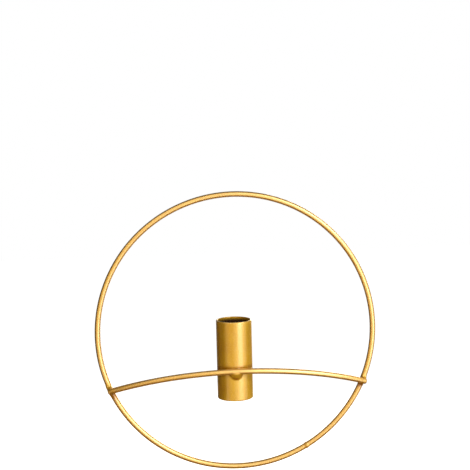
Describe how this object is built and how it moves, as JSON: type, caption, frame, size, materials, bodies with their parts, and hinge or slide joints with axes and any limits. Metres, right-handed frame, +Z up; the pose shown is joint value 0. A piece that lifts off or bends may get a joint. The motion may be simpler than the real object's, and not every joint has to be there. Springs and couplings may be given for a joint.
{
  "type": "wall planter",
  "caption": "Gold-painted iron wall vase: a round wire hoop with a bowed cross bar that carries a small closed tube for flower stems.",
  "frame": {"origin": "the hook's seat: the lowest point of the rod's inner side at the top of the hoop, in the hoop's mid plane", "axes": "+X to the viewer's right, +Y into the wall, +Z up; the hoop's mid plane is y = 0 and the wall is at y = +2 mm"},
  "size_m": [0.2, 0.0309, 0.2],
  "materials": {
    "satin_gold_paint": "satin",
    "gold_paint_on_welds": "satin"
  },
  "bodies": {
    "root": {"hoop": "satin_gold_paint", "cross_bar": "satin_gold_paint", "flower_tube": "satin_gold_paint", "tube_floor": "satin_gold_paint", "hoop_weld": "gold_paint_on_welds", "bar_weld_left": "gold_paint_on_welds", "bar_weld_right": "gold_paint_on_welds", "tube_weld": "gold_paint_on_welds", "floor_weld": "gold_paint_on_welds"}
  },
  "joints": []
}
